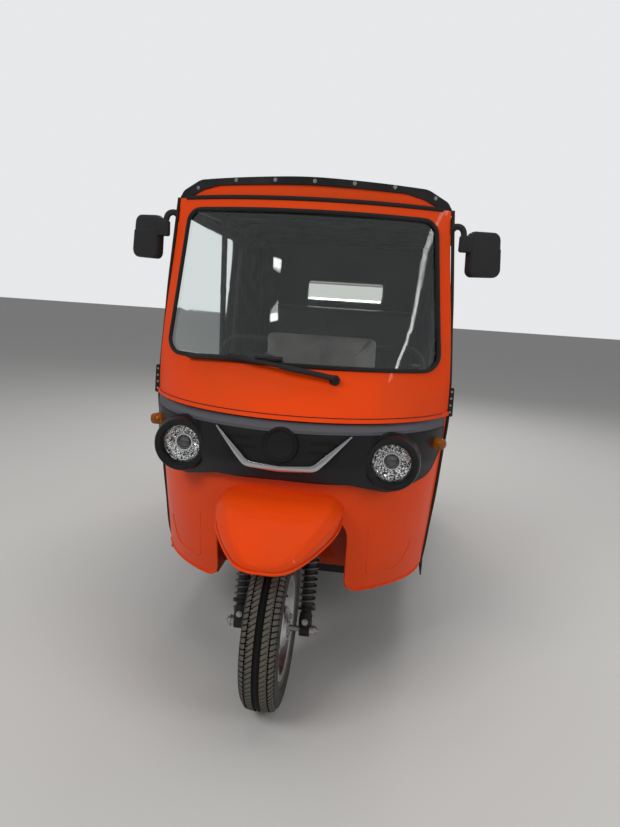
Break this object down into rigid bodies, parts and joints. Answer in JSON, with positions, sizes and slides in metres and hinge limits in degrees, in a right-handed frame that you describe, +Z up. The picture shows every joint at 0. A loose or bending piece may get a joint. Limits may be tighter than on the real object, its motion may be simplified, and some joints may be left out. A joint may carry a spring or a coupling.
{
  "type": "auto rickshaw",
  "caption": "Three-wheeled passenger auto rickshaw with a steel cab front, vinyl hood, bench seat, steered front wheel and a hinged engine lid.",
  "frame": {"origin": "on the ground under the middle of the vehicle's box", "axes": "+Z up; the vehicle faces -Y and is longest along Y; +X is its left-hand side"},
  "size_m": [1.3162, 2.6, 1.7335],
  "materials": {
    "body_paint": "gloss",
    "black_plastic": "satin",
    "black_metal": "satin",
    "silver_trim": "satin",
    "lamp_glass": "clear",
    "screen_glass": "clear",
    "clear_vinyl": "soft clear",
    "black_rubber": "matte",
    "hood_vinyl": "coated cloth",
    "floor_steel": "satin",
    "tail_lens": "gloss",
    "amber_lens": "gloss",
    "seat_vinyl": "grained",
    "cast_alloy": "cast",
    "wheel_alloy": "satin",
    "steel": "bare",
    "exhaust_steel": "heat-proof black",
    "tyre": "matte"
  },
  "bodies": {
    "body": {"bench_base": "body_paint", "chassis_frame": "black_metal", "dashboard": "black_plastic", "driver_backrest": "seat_vinyl", "driver_seat": "seat_vinyl", "driver_seat_base": "body_paint", "engine": "cast_alloy", "exhaust": "exhaust_steel", "floor_pan": "floor_steel", "front_cowl": "body_paint", "front_indicators": "amber_lens", "front_mask": "black_plastic", "front_panel": "body_paint", "grab_rail": "black_metal", "headlamp_left": "lamp_glass", "headlamp_right": "lamp_glass", "hood": "hood_vinyl", "hood_frame": "black_metal", "hood_strip": "hood_vinyl", "mask_trim": "silver_trim", "mirror_left": "black_plastic", "mirror_right": "black_plastic", "mud_flaps": "black_rubber", "mudguard": "body_paint", "passenger_backrest": "seat_vinyl", "passenger_seat": "seat_vinyl", "pillar_brackets": "black_metal", "rear_bumper": "black_metal", "rear_panel": "body_paint", "rear_shocks": "black_metal", "rear_window": "clear_vinyl", "roof_cap": "body_paint", "side_beading": "black_rubber", "side_panel_left": "body_paint", "side_panel_right": "body_paint", "tail_lamps": "tail_lens", "trailing_arm_left": "black_metal", "trailing_arm_right": "black_metal", "wheel_house": "body_paint", "windscreen_glass": "screen_glass", "windscreen_seal": "black_rubber", "wiper": "black_metal"},
    "steering": {"fork": "black_metal", "fork_springs": "black_metal", "front_axle": "steel", "handlebar": "black_metal"},
    "front_wheel": {"front_tyre": "tyre", "front_rim": "wheel_alloy"},
    "rear_wheel_left": {"rear_tyre_left": "tyre", "rear_rim_left": "wheel_alloy", "drive_shaft_left": "steel"},
    "rear_wheel_right": {"rear_tyre_right": "tyre", "rear_rim_right": "wheel_alloy", "drive_shaft_right": "steel"},
    "engine_lid": {"engine_lid": "body_paint"}
  },
  "joints": [
    {"name": "steering_turn", "type": "hinge", "parent": "body", "child": "steering", "pos_m": [0, -1.03339, 0.25537], "axis": [0, 0.2924, 0.9563], "range_deg": [-35, 35]},
    {"name": "front_wheel_spin", "type": "hinge", "parent": "steering", "child": "front_wheel", "pos_m": [0, -1.042, 0.258], "axis": [1, 0, 0], "continuous": true},
    {"name": "rear_wheel_left_spin", "type": "hinge", "parent": "body", "child": "rear_wheel_left", "pos_m": [0.545, 0.958, 0.258], "axis": [1, 0, 0], "continuous": true},
    {"name": "rear_wheel_right_spin", "type": "hinge", "parent": "body", "child": "rear_wheel_right", "pos_m": [-0.545, 0.958, 0.258], "axis": [1, 0, 0], "continuous": true},
    {"name": "engine_lid_hinge", "type": "hinge", "parent": "body", "child": "engine_lid", "pos_m": [0, 1.2603, 0.87], "axis": [1, 0, 0], "range_deg": [0, 75]}
  ]
}
